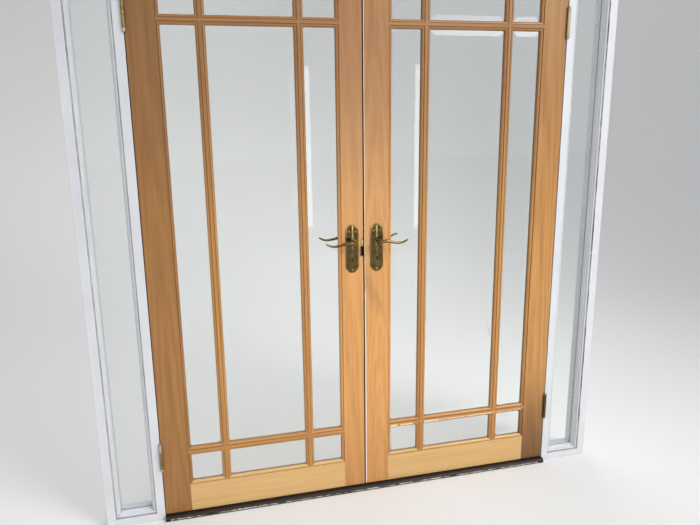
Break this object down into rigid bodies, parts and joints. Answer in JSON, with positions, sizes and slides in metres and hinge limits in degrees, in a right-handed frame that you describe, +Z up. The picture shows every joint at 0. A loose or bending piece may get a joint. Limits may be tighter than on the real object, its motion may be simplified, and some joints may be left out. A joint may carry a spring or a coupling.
{
  "type": "glazed double door with frame",
  "caption": "Pair of rebated glazed timber doors with bevelled panes and lever handles, in a painted frame with a narrow sidelight each side.",
  "frame": {"origin": "On the floor, under the middle of the frame's width and of its depth with the levers.", "axes": "+X to the right seen from the side with the hinge knuckles, +Y into the opening, +Z up."},
  "size_m": [1.921, 0.1406, 1.993],
  "materials": {
    "varnished_wood": "satin varnish",
    "threshold_wood": "dark stain",
    "white_paint": "gloss paint",
    "clear_glass": "clear",
    "aged_brass": "worn polish",
    "steel": "plain"
  },
  "bodies": {
    "frame": {"head": "white_paint", "jamb_left": "white_paint", "jamb_right": "white_paint", "post_left": "white_paint", "post_right": "white_paint", "sidelight_sill_left": "white_paint", "sidelight_sill_right": "white_paint", "threshold": "threshold_wood", "door_stops": "white_paint", "sidelight_glass_left": "clear_glass", "sidelight_glass_right": "clear_glass", "sidelight_beads_left": "white_paint", "sidelight_beads_right": "white_paint", "hinge_frame_plates_left": "aged_brass", "hinge_frame_plates_right": "aged_brass", "hinge_pins_left": "steel", "hinge_pins_right": "steel", "hinge_screws_frame": "aged_brass"},
    "leaf_left": {"left_hinge_stile": "varnished_wood", "left_meeting_stile": "varnished_wood", "left_top_rail": "varnished_wood", "left_bottom_rail": "varnished_wood", "left_cross_bars": "varnished_wood", "left_upright_bars": "varnished_wood", "left_panes": "clear_glass", "left_glazing_beads": "varnished_wood", "hinge_leaf_plates_left": "aged_brass", "hinge_screws_leaf_left": "aged_brass", "left_plate_front": "aged_brass", "left_plate_back": "aged_brass", "left_leaf_screws": "aged_brass", "strike_plate": "aged_brass", "flush_bolt_plates": "aged_brass"},
    "leaf_right": {"right_hinge_stile": "varnished_wood", "right_meeting_stile": "varnished_wood", "right_top_rail": "varnished_wood", "right_bottom_rail": "varnished_wood", "right_cross_bars": "varnished_wood", "right_upright_bars": "varnished_wood", "right_panes": "clear_glass", "right_glazing_beads": "varnished_wood", "hinge_leaf_plates_right": "aged_brass", "hinge_screws_leaf_right": "aged_brass", "right_plate_front": "aged_brass", "right_plate_back": "aged_brass", "right_leaf_screws": "aged_brass", "lock_case": "steel", "lock_forend": "aged_brass"},
    "lever_left": {"left_lever_front": "aged_brass", "left_lever_back": "aged_brass", "left_spindle": "steel"},
    "lever_right": {"right_lever_front": "aged_brass", "right_lever_back": "aged_brass", "right_spindle": "steel", "lock_follower": "steel"},
    "latch": {"latch_bolt": "aged_brass"},
    "dead_bolt": {"dead_bolt": "aged_brass"},
    "flush_bolt_top": {"flush_bolt_top": "aged_brass"},
    "flush_bolt_bottom": {"flush_bolt_bottom": "aged_brass"}
  },
  "joints": [
    {"name": "leaf_right_swing", "type": "hinge", "parent": "frame", "child": "leaf_right", "pos_m": [0.759, -0.023, 0.993], "axis": [0, 0, 1], "range_deg": [0, 100]},
    {"name": "leaf_left_swing", "type": "hinge", "parent": "frame", "child": "leaf_left", "pos_m": [-0.759, -0.023, 0.993], "axis": [0, 0, -1], "range_deg": [0, 100]},
    {"name": "lever_right_turn", "type": "hinge", "parent": "leaf_right", "child": "lever_right", "pos_m": [0.0415, 0, 0.987], "axis": [0, 1, 0], "range_deg": [0, 35], "stiffness_Nm_per_rad": 1.2, "springref_deg": -22.92},
    {"name": "lever_left_turn", "type": "hinge", "parent": "leaf_left", "child": "lever_left", "pos_m": [-0.0495, 0, 0.987], "axis": [0, -1, 0], "range_deg": [0, 35], "stiffness_Nm_per_rad": 1.2, "springref_deg": -22.92},
    {"name": "latch_slide", "type": "slide", "parent": "leaf_right", "child": "latch", "axis": [1, 0, 0], "range_m": [0, 0.011]},
    {"name": "dead_bolt_slide", "type": "slide", "parent": "leaf_right", "child": "dead_bolt", "axis": [-1, 0, 0], "range_m": [0, 0.02]},
    {"name": "flush_bolt_top_slide", "type": "slide", "parent": "leaf_left", "child": "flush_bolt_top", "axis": [0, 0, 1], "range_m": [0, 0.014]},
    {"name": "flush_bolt_bottom_slide", "type": "slide", "parent": "leaf_left", "child": "flush_bolt_bottom", "axis": [0, 0, -1], "range_m": [0, 0.014]}
  ],
  "couplings": [
    {"joint": "latch_slide", "follows": "lever_right_turn", "m_per_rad": 0.0172}
  ]
}
